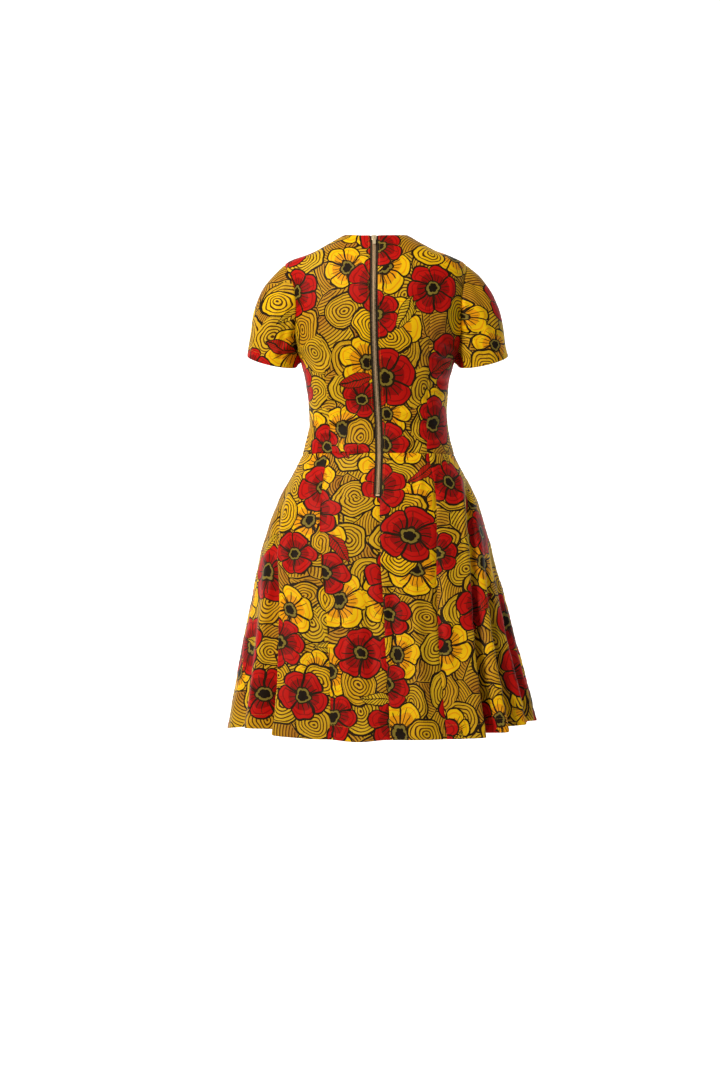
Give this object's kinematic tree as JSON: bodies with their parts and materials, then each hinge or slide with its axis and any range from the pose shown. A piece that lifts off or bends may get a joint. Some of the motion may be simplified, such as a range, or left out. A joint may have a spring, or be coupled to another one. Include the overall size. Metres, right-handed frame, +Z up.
{
  "type": "fit-and-flare dress",
  "caption": "Knee-length printed cotton dress with short set-in sleeves, fitted bodice, flared panelled skirt and a full-length back zip.",
  "frame": {"origin": "midway between the two ends of the neck edge on the shoulder seams, level with them; the wearer's shoulders carry the dress from here", "axes": "+Z up along the body, -Y towards the dress's front, +X towards the wearer's left side"},
  "size_m": [0.6347, 0.4885, 1.0119],
  "materials": {
    "waxed_cotton": "printed plain-weave cotton, lightly glazed",
    "zip_tape": "woven tape, matt",
    "zip_teeth": "aged",
    "zip_slider": "pale, satin"
  },
  "bodies": {
    "dress": {"front_bodice": "waxed_cotton", "back_bodice_left": "waxed_cotton", "back_bodice_right": "waxed_cotton", "sleeve_left": "waxed_cotton", "sleeve_right": "waxed_cotton", "front_skirt": "waxed_cotton", "back_skirt_centre_left": "waxed_cotton", "back_skirt_centre_right": "waxed_cotton", "back_skirt_side_left": "waxed_cotton", "back_skirt_side_right": "waxed_cotton", "zip_tape_left": "zip_tape", "zip_tape_right": "zip_tape", "zip_chain": "zip_teeth", "zip_bottom_stop": "zip_teeth", "zip_slider": "zip_slider"},
    "zip_pull": {"zip_pull": "zip_slider"}
  },
  "joints": [
    {"name": "zip_pull_swing", "type": "hinge", "parent": "dress", "child": "zip_pull", "pos_m": [0.0046, 0.07121, -0.01275], "axis": [0.9998, -0.0211, -0.0025], "range_deg": [0, 165]}
  ]
}
